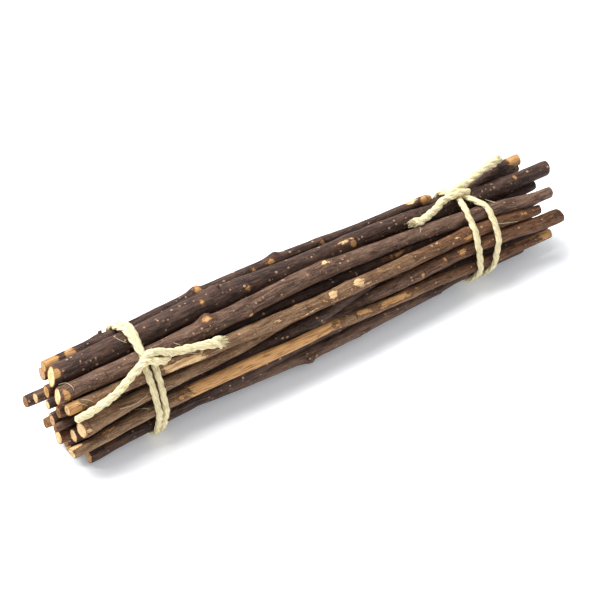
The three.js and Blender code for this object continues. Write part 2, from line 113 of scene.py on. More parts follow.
@dataclass
class MeshBuilder:
    """Gathers vertices, faces and per-vertex values of one mesh, in millimetres.

    Attributes:
        values: Names of the per-vertex numbers that the finishes read.
    """

    values: tuple[str, ...]
    points: list[np.ndarray] = field(default_factory=list)
    faces: list[np.ndarray] = field(default_factory=list)
    finishes: list[np.ndarray] = field(default_factory=list)
    numbers: dict[str, list[np.ndarray]] = field(default_factory=dict)
    count: int = 0

    def add(self, points: np.ndarray, faces: np.ndarray, finish: int = 0, **numbers: np.ndarray) -> None:
        """Adds a piece of surface.

        Args:
            points: Its vertices, one a row.
            faces: Its four-cornered faces; a triangle repeats its last corner.
            finish: Which of the object's materials the faces wear.
            **numbers: Per-vertex values; a missing one is 0.
        """
        self.points.append(points)
        self.faces.append(faces + self.count)
        self.finishes.append(np.full(len(faces), finish))
        for name in self.values:
            given = numbers.get(name, 0.0)
            self.numbers.setdefault(name, []).append(np.broadcast_to(given, (len(points),)))
        self.count += len(points)

    def tube(self, line: np.ndarray, radii: np.ndarray, sides: int, finish: int = 0,
             **numbers: np.ndarray) -> None:
        """Adds a closed round tube along a line, with one value of each number per point of the line."""
        side, other = side_vectors(line)
        angles = np.linspace(0.0, 2 * math.pi, sides, endpoint=False)
        ring = (side[:, None] * np.cos(angles)[None, :, None]
                + other[:, None] * np.sin(angles)[None, :, None])
        points = (line[:, None] + ring * radii[:, None, None]).reshape(-1, 3)
        spread = {name: np.repeat(value, sides) for name, value in numbers.items()}
        spread["round"] = np.tile(angles, len(line))
        faces = np.vstack([wall_faces(len(line), sides), end_fans(len(line), sides)])
        self.add(points, faces, finish, **{k: v for k, v in spread.items() if k in self.values})

    def build(self, name: str, materials: list[bpy.types.Material]) -> bpy.types.Object:
        """Makes the Blender object.

        Args:
            name: The piece's name.
            materials: The finishes it wears, in the order the faces name them.

        Returns:
            The new object, smooth shaded, in metres.
        """
        points = np.vstack(self.points) * MM
        faces = np.vstack(self.faces)
        finishes = np.concatenate(self.finishes)
        corners = [[int(i) for i in (f if f[3] != f[2] else f[:3])] for f in faces]
        mesh = bpy.data.meshes.new(name)
        mesh.from_pydata(points.tolist(), [], corners)
        for key in self.values:
            layer = mesh.attributes.new(key, "FLOAT", "POINT")
            layer.data.foreach_set("value", np.concatenate(self.numbers[key]).astype(np.float32))
        mesh.polygons.foreach_set("material_index", finishes.astype(np.int32))
        mesh.polygons.foreach_set("use_smooth", np.ones(len(corners), dtype=bool))
        for material in materials:
            mesh.materials.append(material)
        mesh.update()
        piece = bpy.data.objects.new(name, mesh)
        bpy.context.scene.collection.objects.link(piece)
        return piece


def wall_faces(rings: int, sides: int) -> np.ndarray:
    """Faces between neighbouring rings of vertices that each close on themselves."""
    row = np.arange(rings - 1)[:, None] * sides
    here = np.arange(sides)[None, :]
    after = (here + 1) % sides
    quads = np.stack([row + here, row + after, row + after + sides, row + here + sides], axis=-1)
    return quads.reshape(-1, 4)


def end_fans(rings: int, sides: int) -> np.ndarray:
    """Triangles that close the first and the last ring from one of their own corners."""
    k = np.arange(1, sides - 1)
    last = (rings - 1) * sides
    first = np.stack([0 * k, k + 1, k, k], axis=1)
    final = np.stack([0 * k + last, k + last, k + 1 + last, k + 1 + last], axis=1)
    return np.vstack([first, final])


class Shader:
    """A short way to write a material's node tree."""

    def __init__(self, name: str) -> None:
        """Starts an empty material of that name."""
        self.material = bpy.data.materials.new(name)
        self.material.use_nodes = True
        self.tree = self.material.node_tree
        self.tree.nodes.clear()

    def node(self, kind: str, settings: dict | None = None, **inputs: object) -> bpy.types.Node:
        """Adds a node.

        Args:
            kind: Blender's name for the node type.
            settings: Its own properties.
            **inputs: Values or other nodes' outputs for its sockets, by name with _ for a space.

        Returns:
            The node.
        """
        made = self.tree.nodes.new(kind)
        for key, value in (settings or {}).items():
            setattr(made, key, value)
        for key, value in inputs.items():
            socket = made.inputs[int(key[1:])] if key[0] == "i" and key[1:].isdigit() else \
                made.inputs[key.replace("_", " ")]
            self.feed(socket, value)
        return made

    def feed(self, socket: bpy.types.NodeSocket, value: object) -> None:
        """Links an output to the socket, or sets the socket to a plain value."""
        if isinstance(value, bpy.types.NodeSocket):
            self.tree.links.new(value, socket)
        else:
            socket.default_value = value

    def value(self, name: str) -> bpy.types.NodeSocket:
        """The mesh's own number of that name."""
        return self.node("ShaderNodeAttribute", {"attribute_name": name}).outputs["Fac"]

    def place(self, scale: tuple[float, float, float], shift: float = 0.0) -> bpy.types.NodeSocket:
        """The point on the object in millimetres, stretched by scale and moved by shift."""
        point = self.node("ShaderNodeTexCoord").outputs["Object"]
        sized = tuple(s / MM for s in scale)
        offset = (shift, shift * 1.7, shift * 0.6)
        mapping = self.node("ShaderNodeMapping", None, Vector=point, Scale=sized, Location=offset)
        return mapping.outputs["Vector"]

    def noise(self, where: bpy.types.NodeSocket, scale: float, detail: float = 3.0,
              rough: float = 0.55) -> bpy.types.NodeSocket:
        """A cloudy pattern from 0 to 1."""
        return self.node("ShaderNodeTexNoise", None, Vector=where, Scale=scale, Detail=detail,
                         Roughness=rough).outputs["Fac"]

    def math(self, operation: str, a: object, b: object = 0.0, clamp: bool = False) -> bpy.types.NodeSocket:
        """One sum of two numbers."""
        settings = {"operation": operation, "use_clamp": clamp}
        return self.node("ShaderNodeMath", settings, i0=a, i1=b).outputs[0]

    def band(self, value: object, low: float, high: float, start: float = 0.0,
             end: float = 1.0) -> bpy.types.NodeSocket:
        """Goes from start where value is low to end where it is high."""
        return self.node("ShaderNodeMapRange", {"interpolation_type": "SMOOTHSTEP"}, Value=value,
                         From_Min=low, From_Max=high, To_Min=start, To_Max=end).outputs["Result"]

    def mix(self, share: object, first: object, second: object, blend: str = "MIX") -> bpy.types.NodeSocket:
        """One colour turning to another as share goes from 0 to 1."""
        made = self.node("ShaderNodeMix", {"data_type": "RGBA", "blend_type": blend})
        self.feed(made.inputs["Factor"], share)
        self.feed(made.inputs[6], first)
        self.feed(made.inputs[7], second)
        return made.outputs[2]

    def ramp(self, value: object,
             stops: list[tuple[float, tuple[float, float, float]]]) -> bpy.types.NodeSocket:
        """Colours along a scale from 0 to 1."""
        made = self.node("ShaderNodeValToRGB", None, Fac=value)
        elements = made.color_ramp.elements
        while len(elements) < len(stops):
            elements.new(0.5)
        for element, (at, colour) in zip(elements, stops):
            element.position = at
            element.color = (*colour, 1.0)
        return made.outputs["Color"]

    def finish(self, colour: object, rough: object, height: object, depth_mm: float,
               shine: float = 0.5) -> bpy.types.Material:
        """Ends the tree with one plain surface.

        Args:
            colour: Its colour.
            rough: Its roughness.
            height: The pattern that its relief follows.
            depth_mm: How deep the relief is.
            shine: How strongly it mirrors.

        Returns:
            The material.
        """
        bump = self.node("ShaderNodeBump", None, Height=height, Strength=1.0, Distance=depth_mm * MM)
        surface = self.node("ShaderNodeBsdfPrincipled", None, Base_Color=colour, Roughness=rough,
                            Normal=bump.outputs["Normal"], Specular_IOR_Level=shine)
        out = self.node("ShaderNodeOutputMaterial")
        self.tree.links.new(surface.outputs["BSDF"], out.inputs["Surface"])
        return self.material


class BarkTone(Enum):
    """The bark colours found in the bundle: furrow, body and bloom."""

    PLUM = ((0.003, 0.0014, 0.001), (0.026, 0.0125, 0.0085), (0.135, 0.074, 0.052))
    GREY = ((0.004, 0.002, 0.0013), (0.056, 0.027, 0.0165), (0.250, 0.148, 0.098))
    TAN = ((0.010, 0.0042, 0.0018), (0.125, 0.062, 0.029), (0.380, 0.232, 0.125))
    RUSSET = ((0.006, 0.002, 0.001), (0.060, 0.022, 0.0085), (0.250, 0.118, 0.050))
    DARK = ((0.003, 0.0014, 0.001), (0.020, 0.009, 0.0055), (0.095, 0.048, 0.030))


class CutTone(Enum):
    """Colours of the cut wood, fresh to weathered: face and stain."""

    CREAM = ((0.78, 0.56, 0.30), (0.50, 0.27, 0.09))
    OCHRE = ((0.56, 0.33, 0.13), (0.30, 0.135, 0.04))
    PINK = ((0.56, 0.34, 0.20), (0.34, 0.16, 0.08))
    BROWN = ((0.27, 0.135, 0.055), (0.085, 0.038, 0.018))


@dataclass(frozen=True)
class Bark:
    """Bark with furrows, pale breathing dots and places where it is stripped to the wood.

    Attributes:
        tone: Its colours at the left end.
        far_tone: Its colours at the right end.
        seed: Moves the patterns, so that no two twigs are alike.
        dots: How many of the cells carry a pale dot, from 0 to 1.
    """

    tone: BarkTone
    far_tone: BarkTone
    seed: float
    dots: float = 0.5

    def material(self) -> bpy.types.Material:
        """Builds the finish."""
        s = Shader(f"bark_{self.tone.name.lower()}_{self.seed:g}")
        grain = s.noise(s.place((0.14, 1.1, 1.1), self.seed), 1.4, 5.0, 0.65)
        fine = s.noise(s.place((0.7, 1.5, 1.5), self.seed), 3.2, 4.0, 0.7)
        cloud = s.noise(s.place((0.07, 0.2, 0.2), self.seed), 1.0, 3.0)
        shade = s.math("ADD", s.math("MULTIPLY", grain, 0.52), s.math("MULTIPLY", fine, 0.48))
        colour = self.toned(s, shade, cloud)
        fissure = s.noise(s.place((0.10, 2.3, 2.3), self.seed + 11.0), 1.5, 3.0, 0.6)
        crack = s.band(fissure, 0.38, 0.30)
        colour = s.mix(s.math("MULTIPLY", crack, 0.7), colour, (*self.tone.value[0], 1.0))
        warm = s.noise(s.place((0.10, 0.4, 0.4), self.seed + 7.0), 1.0, 4.0, 0.65)
        colour = s.mix(s.band(warm, 0.56, 0.72, 0.0, 0.45), colour, (0.17, 0.070, 0.028, 1.0))
        flecks, fleck_height = self.speckled(s)
        colour = s.mix(flecks, colour, (0.50, 0.30, 0.18, 1.0))
        colour, bare = self.stripped(s, colour)
        colour = s.mix(s.band(s.value("scar"), 0.25, 0.9), colour, (0.016, 0.008, 0.006, 1.0))
        relief = s.math("ADD", s.math("MULTIPLY", grain, 0.8), s.math("MULTIPLY", fine, 0.5))
        relief = s.math("ADD", relief, s.math("MULTIPLY", fleck_height, 0.22))
        relief = s.math("SUBTRACT", relief, s.math("MULTIPLY", crack, 0.35))
        relief = s.math("MULTIPLY", relief, s.math("SUBTRACT", 1.0, s.math("MULTIPLY", bare, 0.75)))
        rough = s.band(fine, 0.3, 0.7, 0.55, 0.78)
        return s.finish(colour, rough, relief, 0.42, 0.28)

    def toned(self, s: Shader, shade: object, cloud: object) -> bpy.types.NodeSocket:
        """The bark's own colours, which change from one end of the twig to the other."""
        point = s.node("ShaderNodeTexCoord").outputs["Object"]
        along = s.node("ShaderNodeSeparateXYZ", None, Vector=point).outputs["X"]
        share = s.band(along, 0.012, 0.062)
        colours = []
        for furrow, body, bloom in (self.tone.value, self.far_tone.value):
            near = s.ramp(shade, [(0.36, furrow), (0.46, body), (0.62, bloom)])
            colours.append(s.mix(s.band(cloud, 0.46, 0.66, 0.0, 0.35), near, (*bloom, 1.0)))
        return s.mix(share, colours[0], colours[1])

    def speckled(self, s: Shader) -> tuple[bpy.types.NodeSocket, bpy.types.NodeSocket]:
        """Scattered pale dots, some of them large, and how far they stand proud."""
        where = s.place((0.62, 0.72, 0.72), self.seed)
        cells = s.node("ShaderNodeTexVoronoi", None, Vector=where, Scale=1.0)
        pick = s.node("ShaderNodeSeparateColor", None, Color=cells.outputs["Color"])
        reach = s.band(pick.outputs[0], 1.0 - self.dots, 1.0, 0.08, 0.36)
        inside = s.math("SUBTRACT", reach, cells.outputs["Distance"])
        mask = s.band(inside, 0.0, 0.10)
        strength = s.math("MULTIPLY", mask, s.band(pick.outputs[1], 0.1, 0.8, 0.25, 0.85))
        return strength, mask

    def stripped(self, s: Shader, colour: object) -> tuple[bpy.types.NodeSocket, bpy.types.NodeSocket]:
        """Bare wood wherever the mesh's own number for it is above 0, with a torn brown edge."""
        ragged = s.noise(s.place((0.45, 0.8, 0.8), self.seed + 3.0), 1.0, 5.0, 0.75)
        depth = s.math("ADD", s.value("bare"), s.math("MULTIPLY", s.math("SUBTRACT", ragged, 0.5), 3.4))
        streak = s.noise(s.place((0.12, 1.6, 1.6), self.seed + 5.0), 1.5, 4.0, 0.6)
        pale = s.value("pale")
        light = s.mix(pale, (0.52, 0.285, 0.110, 1.0), (0.74, 0.51, 0.265, 1.0))
        dark = s.mix(pale, (0.22, 0.092, 0.030, 1.0), (0.42, 0.225, 0.090, 1.0))
        wood = s.mix(s.band(streak, 0.32, 0.56), dark, light)
        rim = s.band(depth, -0.55, 0.02)
        colour = s.mix(s.math("MULTIPLY", rim, 0.75), colour, (0.14, 0.055, 0.020, 1.0))
        bare = s.band(depth, 0.0, 0.30)
        return s.mix(bare, colour, wood), bare


@dataclass(frozen=True)
class CutWood:
    """The face of a cut end, with its pith, rings and rim of bark."""

    seed: float
    tone: CutTone = CutTone.CREAM

    def material(self) -> bpy.types.Material:
        """Builds the finish."""
        s = Shader(f"cut_wood_{self.seed:g}")
        face, stain_colour = self.tone.value
        far = s.value("radial")
        wobble = s.noise(s.place((1.0, 1.0, 1.0), self.seed), 0.9, 3.0)
        phase = s.math("ADD", s.math("MULTIPLY", far, 22.0), s.math("MULTIPLY", wobble, 5.0))
        rings = s.math("SINE", phase)
        pores = s.noise(s.place((2.5, 2.5, 2.5), self.seed), 1.6, 3.0, 0.7)
        stain = s.noise(s.place((0.30, 0.45, 0.45), self.seed + 2.0), 1.0, 3.0, 0.6)
        colour = s.mix(s.band(rings, -1.0, 1.0, 0.0, 0.18), (*face, 1.0), (*stain_colour, 1.0))
        colour = s.mix(s.band(stain, 0.45, 0.68, 0.0, 0.8), colour, (*stain_colour, 1.0))
        colour = s.mix(s.band(far, 0.12, 0.05, 0.0, 0.7), colour, (*stain_colour, 1.0))
        edge = s.math("ADD", far, s.math("MULTIPLY", s.math("SUBTRACT", wobble, 0.5), 0.25))
        colour = s.mix(s.band(edge, 0.74, 0.90, 0.0, 0.8), colour, (0.40, 0.165, 0.045, 1.0))
        colour = s.mix(s.band(edge, 0.90, 0.97), colour, (0.030, 0.014, 0.009, 1.0))
        return s.finish(colour, 0.85, pores, 0.14, 0.2)


@dataclass(frozen=True)
class Sisal:
    """Pale twisted fibre."""

    seed: float
    pale: tuple[float, float, float] = (0.90, 0.82, 0.545)

    def material(self) -> bpy.types.Material:
        """Builds the finish."""
        s = Shader(f"sisal_{self.seed:g}")
        along, turned = s.value("run"), s.value("round")
        spin = s.node("ShaderNodeCombineXYZ", None, X=s.math("MULTIPLY", along, 0.22),
                      Y=s.math("MULTIPLY", s.math("COSINE", turned), 1.5),
                      Z=s.math("MULTIPLY", s.math("SINE", turned), 1.5)).outputs[0]
        hairs = s.noise(spin, 3.2, 4.0, 0.65)
        patch = s.noise(s.place((0.30, 0.30, 0.30), self.seed), 1.0, 3.0)
        colour = s.ramp(hairs, [(0.32, (0.34, 0.20, 0.07)), (0.42, (0.74, 0.60, 0.31)), (0.54, self.pale)])
        colour = s.mix(s.band(patch, 0.48, 0.78, 0.0, 0.35), colour, (0.84, 0.71, 0.39, 1.0))
        # painted shade: the fibres round the crease in the knot turn brown
        colour = s.mix(s.band(s.value("crease_shade"), 0.3, 0.9), colour, (0.44, 0.22, 0.06, 1.0))
        return s.finish(colour, 0.9, hairs, 0.30, 0.15)


class Peel(Enum):
    """How bare wood looks: orange under fresh bark, or dried pale."""

    ORANGE = 0.0
    PALE = 1.0


@dataclass(frozen=True)
class Patch:
    """A place where the bark is off.

    Attributes:
        start: X of its left edge, in millimetres.
        end: X of its right edge.
        angle: Degrees round the twig from the front of the section, rising to the back.
        half: Half of its width in degrees.
        peel: What shows there.
    """

    start: float
    end: float
    angle: float = 0.0
    half: float = 200.0
    peel: Peel = Peel.ORANGE

    def depth(self, x: np.ndarray, angle: np.ndarray, radius: np.ndarray) -> np.ndarray:
        """How far inside the patch a point of the twig is, in millimetres; negative outside."""
        if self.half >= 180.0:
            return np.minimum(x - self.start, self.end - x)
        half_length = (self.end - self.start) / 2.0
        turned = (angle - self.angle + 180.0) % 360.0 - 180.0
        half_width = np.radians(self.half) * radius
        power = np.clip(half_length / 1.5, 2.0, 8.0)
        lengthwise = np.abs(x - self.start - half_length) / half_length
        share = (lengthwise**power + np.abs(turned / self.half) ** power) ** (1.0 / power)
        return (1.0 - share) * np.minimum(half_length, half_width)


@dataclass(frozen=True)
class Knob:
    """A swelling where a leaf or side shoot grew: where it is, how high, and whether a bud is left."""

    x: float
    angle: float
    height: float = 0.6
    bud: bool = False


@dataclass
class Twig:
    """One twig of the bundle, following the line and thickness of its solid.

    Attributes:
        node: Name of the solid it stands for.
        tone: Colour of its bark.
        seed: Start of its own run of random numbers.
        far_tone: Colour of its bark at the right end, if another.
        patches: Places where the bark is off.
        knobs: Swellings that show; more are added at random.
        slant: How far the left cut face leans, as rise of x over across and over out.
        cut: Colour of its cut ends.
        dots: How thickly the bark is dotted.
        fullness: How much thicker than its solid it looks.
    """

    node: str
    tone: BarkTone
    seed: int
    far_tone: BarkTone | None = None
    patches: tuple[Patch, ...] = ()
    knobs: tuple[Knob, ...] = ()
    slant: tuple[float, float] = (0.1, 0.0)
    cut: CutTone = CutTone.CREAM
    dots: float = 0.5
    fullness: float = 1.0
    ring_step: float = 0.65
    sides: int = 36
    line: np.ndarray = field(init=False)
    radii: np.ndarray = field(init=False)

    def __post_init__(self) -> None:
        """Reads the solid's rings and makes the smooth line and thickness along the twig."""
        self.rng = np.random.default_rng(self.seed)
        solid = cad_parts[self.node].data
        points = np.array([v.co for v in solid.vertices]) / MM
        places = np.unique(np.round(points[:, 0], 1))
        stops = [x for i, x in enumerate(places) if i == 0 or x - places[i - 1] > 0.5]
        rings = [points[np.abs(points[:, 0] - x) < 0.4] for x in stops]
        middles = np.array([(ring.min(0) + ring.max(0)) / 2 for ring in rings])
        radii = np.array([(ring[:, 1].max() - ring[:, 1].min()) / 2 for ring in rings])
        xs = np.arange(middles[0, 0], middles[-1, 0] + self.ring_step / 2, self.ring_step)
        xs[-1] = middles[-1, 0]
        fine = resample(middles, self.ring_step)
        sides = [np.interp(xs, fine[:, 0], fine[:, k]) for k in (1, 2)]
        self.line = np.stack([xs, *sides], 1)
        self.radii = np.interp(xs, middles[:, 0], radii) * self.fullness

    def at(self, x: float) -> tuple[np.ndarray, float]:
        """Centre and radius at x."""
        centre = np.array([np.interp(x, self.line[:, 0], self.line[:, k]) for k in range(3)])
        return centre, float(np.interp(x, self.line[:, 0], self.radii))

    def all_knobs(self) -> list[Knob]:
        """The swellings that show and ones at random between them."""
        knobs = list(self.knobs)
        x = self.line[0, 0] + self.rng.uniform(8.0, 26.0)
        while x < self.line[-1, 0] - 6.0:
            if all(abs(x - knob.x) > 9.0 for knob in self.knobs):
                height = self.rng.uniform(0.15, 0.45)
                knobs.append(Knob(x, self.rng.uniform(-180.0, 180.0), height))
            x += self.rng.uniform(14.0, 38.0)
        return knobs

    def surface(self) -> tuple[np.ndarray, np.ndarray, np.ndarray]:
        """Radius, angle and scar value at every ring and side."""
        x = self.line[:, 0][:, None]
        angle = np.linspace(-180.0, 180.0, self.sides, endpoint=False)[None, :]
        turned = np.radians(angle)
        wave = np.zeros((len(self.line), self.sides))
        for lobes, size in ((2, 0.030), (3, 0.018), (5, 0.010), (7, 0.008), (9, 0.006), (11, 0.005)):
            start = self.rng.uniform(0, 6.3)
            drift = start + 0.5 * np.sin(x / self.rng.uniform(16, 40) + self.rng.uniform(0, 6.3))
            wave += size * np.cos(lobes * turned + drift)
        for length, size in ((71.0, 0.022), (33.0, 0.016), (13.0, 0.012), (5.1, 0.007)):
            period = length * self.rng.uniform(0.8, 1.2)
            wave += size * np.sin(2 * math.pi * x / period + self.rng.uniform(0, 6.3))
        radius = self.radii[:, None] * (1.0 + wave)
        scar = np.zeros_like(radius)
        for knob in self.all_knobs():
            away = x - knob.x
            turn = np.radians((angle - knob.angle + 180.0) % 360.0 - 180.0)
            length = np.where(away < 0, 3.2, 1.3)
            radius = radius + 0.35 * knob.height * np.exp(-((away / 3.2) ** 2))
            radius = radius + knob.height * np.exp(-((away / length) ** 2) - (turn / 0.65) ** 2)
            ring = np.exp(-(((away - 0.9) / 0.45) ** 2) - (turn / 0.9) ** 2)
            radius = radius - 0.14 * ring
            scar = np.maximum(scar, ring * 0.8)
        ends = np.minimum(x - x[0], x[-1] - x)
        radius = radius - 0.12 * np.exp(-ends / 0.5)
        return radius, np.broadcast_to(angle, radius.shape), scar

    def shape(self) -> MeshBuilder:
        """Builds the bark, the two cut faces and the buds."""
        mesh = MeshBuilder(("bare", "pale", "scar", "radial"))
        radius, angle, scar = self.surface()
        turned = np.radians(angle)
        outward = OUT * np.cos(turned)[..., None] + ACROSS * np.sin(turned)[..., None]
        points = self.line[:, None] + outward * radius[..., None]
        points = self.slanted(points, radius, turned)
        bare, pale = self.stripped(points[..., 0], angle, radius)
        rings, sides = radius.shape
        mesh.add(points.reshape(-1, 3), wall_faces(rings, sides)[:, ::-1], 0, bare=bare.ravel(),
                 pale=pale.ravel(), scar=scar.ravel())
        for ring, flip in ((points[0], False), (points[-1], True)):
            self.cut_face(mesh, ring, flip)
        for knob in self.knobs:
            if knob.bud:
                self.bud(mesh, knob)
        return mesh

    def slanted(self, points: np.ndarray, radius: np.ndarray, turned: np.ndarray) -> np.ndarray:
        """Leans the two cut faces, and fades the lean out over a short length."""
        x = self.line[:, 0][:, None]
        far_slant = (self.rng.uniform(-0.25, 0.25), self.rng.uniform(-0.25, 0.25))
        for start, (over_across, over_out) in ((x[0], self.slant), (x[-1], far_slant)):
            lean = over_across * np.sin(turned) * radius + over_out * np.cos(turned) * radius
            points[..., 0] += lean * np.clip(1.0 - np.abs(x - start) / 4.0, 0.0, 1.0)
        return points

    def stripped(self, x: np.ndarray, angle: np.ndarray, radius: np.ndarray) -> tuple[np.ndarray, np.ndarray]:
        """How far inside bare wood each point is, and how pale that wood is."""
        bare = np.full_like(radius, -5.0)
        pale = np.zeros_like(radius)
        for patch in self.patches:
            depth = patch.depth(x, angle, radius)
            pale = np.where(depth > bare, patch.peel.value, pale)
            bare = np.maximum(bare, depth)
        return np.clip(bare, -5.0, 3.0), pale

    def cut_face(self, mesh: MeshBuilder, ring: np.ndarray, flip: bool) -> None:
        """Closes an end with rings that shrink to the pith and are not quite flat."""
        shares = np.array([1.0, 0.97, 0.86, 0.7, 0.5, 0.3, 0.12])
        centre = ring.mean(axis=0)
        sides = len(ring)
        rows = centre + (ring - centre) * shares[:, None, None]
        rough = self.rng.normal(0.0, 0.05, rows.shape[:2])
        rough[0] = 0.0
        bulge = (1.0 if flip else -1.0) * 0.10 * (1.0 - shares**2)[:, None]
        rows[..., 0] += rough + bulge
        points = np.vstack([rows.reshape(-1, 3), centre + [bulge[-1, 0], 0.0, 0.0]])
        radial = np.append(np.repeat(shares, sides), 0.0)
        here = np.arange(sides)
        after = (here + 1) % sides
        last = (len(shares) - 1) * sides
        middle = np.full(sides, len(points) - 1)
        fan = np.stack([last + here, last + after, middle, middle], axis=1)
        faces = np.vstack([wall_faces(len(shares), sides), fan])
        if not flip:
            mesh.add(points, faces, 1, radial=radial)
            return
        walls = wall_faces(len(shares), sides)[:, ::-1]
        mesh.add(points, np.vstack([walls, fan[:, [1, 0, 2, 3]]]), 1, radial=radial)

    def bud(self, mesh: MeshBuilder, knob: Knob) -> None:
        """A small pointed bud lying along the twig."""
        centre, radius = self.at(knob.x)
        turned = math.radians(knob.angle)
        outward = OUT * math.cos(turned) + ACROSS * math.sin(turned)
        base = centre + outward * (radius + knob.height * 0.5)
        tip = np.array([1.5, 0.0, 0.0]) + outward * (0.25 + knob.height)
        t = np.linspace(0.0, 1.0, 7)
        line = base + tip * t[:, None]
        mesh.tube(line, 0.62 * np.sin(np.clip(t * 2.3 + 0.55, 0, math.pi)) + 0.03, 8, 0,
                  scar=np.full(7, 0.3), bare=np.full(7, -5.0))

    def make(self) -> bpy.types.Object:
        """Builds and dresses the twig."""
        seed = float(self.seed)
        finishes = [Bark(self.tone, self.far_tone or self.tone, seed, self.dots).material(),
                    CutWood(seed, self.cut).material()]
        return self.shape().build(self.node.replace("twig", "wood"), finishes)


@dataclass
class Tie:
    """A tie of twine: two turns round the twigs, a knot, two loose tails and stray fibres.

    Attributes:
        node: Name of the solid it stands for.
        x: Where it is along the bundle.
        hold: Middle of the tied circle, across and out.
        knot_angle: Degrees round the girth to the knot.
        way: 1 if the turns leave the knot up the back, -1 if down the front.
        sideways: How far each turn lies from x at even steps round.
        tails: Points of the two tails, counted from the knot as x, across, out.
        frays: For each tail, how wide its end opens.
        hole: Place of a crease in the knot, counted from the knot, where brown is painted as shade.
        strays: Points of single loose fibres lying on the twigs, counted from the knot as x, across.
        thickness: Of the loose twine.
        taut: Thickness of the turns, which are pulled flat on the twigs.
        plies: Number of strands twisted together.
        twist_length: Length of one full twist.
        gap: Between the taut turns and the twigs.
    """

    node: str
    seed: int
    x: float
    hold: tuple[float, float]
    knot_angle: float
    way: float
    sideways: tuple[tuple[float, ...], ...]
    tails: tuple[tuple[tuple[float, float, float], ...], ...]
    frays: tuple[float, float]
    hole: tuple[float, float, float]
    strays: tuple[tuple[tuple[float, float], ...], ...]
    thickness: float = 2.5
    taut: float = 1.7
    plies: int = 3
    twist_length: float = 10.5
    gap: float = 0.12

    def girth(self, twigs: list[Twig], x: float, degrees: float, lift: float = 0.0) -> np.ndarray:
        """A point of taut twine round the twigs.

        Args:
            twigs: Everything that the twine holds.
            x: Where along the bundle.
            degrees: Direction from the middle of the tied circle, 0 to the front.
            lift: How far the twine is raised.

        Returns:
            The point, in millimetres.
        """
        normals = np.linspace(0.0, 2 * math.pi, 144, endpoint=False)
        angle = math.radians(degrees)
        facing = np.cos(normals - angle)
        reach = np.full(len(normals), -1e9)
        for twig in twigs:
            if not twig.line[0, 0] < x < twig.line[-1, 0]:
                continue
            centre, radius = twig.at(x)
            offset = centre - section_point(x, *self.hold)
            along_normal = (offset @ OUT) * np.cos(normals) + (offset @ ACROSS) * np.sin(normals)
            reach = np.maximum(reach, along_normal + radius)
        good = facing > 0.2
        far = np.min((reach[good] + self.gap + self.taut / 2) / facing[good]) + lift
        across, out = self.hold
        return section_point(x, across + far * math.sin(angle), out + far * math.cos(angle))

    def turns(self, twigs: list[Twig]) -> np.ndarray:
        """The line of both turns round the bundle."""
        points = []
        for number, row in enumerate(self.sideways):
            at = np.linspace(0.0, 1.0, 49)[:-1] if number == 0 else np.linspace(0.0, 1.0, 49)
            wander = np.interp(at, np.linspace(0.0, 1.0, len(row)), row)
            for share, side in zip(at, wander):
                degrees = self.knot_angle + self.way * 360.0 * share
                points.append(self.girth(twigs, self.x + side, degrees))
        line = np.array(points)
        line[:, 2] = np.maximum(line[:, 2], self.taut / 2)
        return resample(line, 0.45)

    def make(self, twigs: list[Twig]) -> bpy.types.Object:
        """Builds and dresses the tie."""
        rng = np.random.default_rng(self.seed)
        mesh = MeshBuilder(("run", "round", "crease_shade"))
        knot = self.girth(twigs, self.x, self.knot_angle, (self.thickness - self.taut) / 2)
        middle = section_point(0.0, *self.hold)
        length = self.rope(mesh, rng, self.turns(twigs), 0.0, middle)
        for tail, fray in zip(self.tails, self.frays):
            points = np.array([knot + section_step(*step) for step in tail])
            length += self.rope(mesh, rng, resample(points, 0.45), fray)
        LOG.info("%s: %.0f mm of twine", self.node, length)
        for stray in self.strays:
            points = np.array([self.resting(twigs, knot, x, up) for x, up in stray])
            fibre = resample(points, 0.5)
            mesh.tube(fibre, np.full(len(fibre), 0.085), 5, 0, run=np.full(len(fibre), 1.0))
        # painted shade: browns the twine round a crease in the knot
        self.shade_crease(mesh, knot + section_step(*self.hole))
        return mesh.build(self.node.replace("twine_tie", "twine"), [Sisal(float(self.seed)).material()])

    def resting(self, twigs: list[Twig], knot: np.ndarray, x: float, up: float) -> np.ndarray:
        """The point just clear of the front of the twigs, at a distance from the knot along and up."""
        away = knot - section_point(knot[0], 0.0, 0.0)
        across, out = up + away @ ACROSS, 0.0
        for twig in twigs:
            if twig.line[0, 0] < knot[0] + x < twig.line[-1, 0]:
                centre, radius = twig.at(knot[0] + x)
                offset = centre - section_point(knot[0] + x, 0.0, 0.0)
                room = radius**2 - (across - offset @ ACROSS) ** 2
                if room > 0.0:
                    out = max(out, offset @ OUT + math.sqrt(room))
        return section_point(knot[0] + x, across, out + 0.3)

    def shade_crease(self, mesh: MeshBuilder, crease: np.ndarray) -> None:
        """Browns the fibres round the crease in the knot, as painted shade."""
        for number, points in enumerate(mesh.points):
            away = np.linalg.norm(points - crease, axis=1)
            mesh.numbers["crease_shade"][number] = np.clip(1.6 - away / 0.75, 0.0, 1.0)

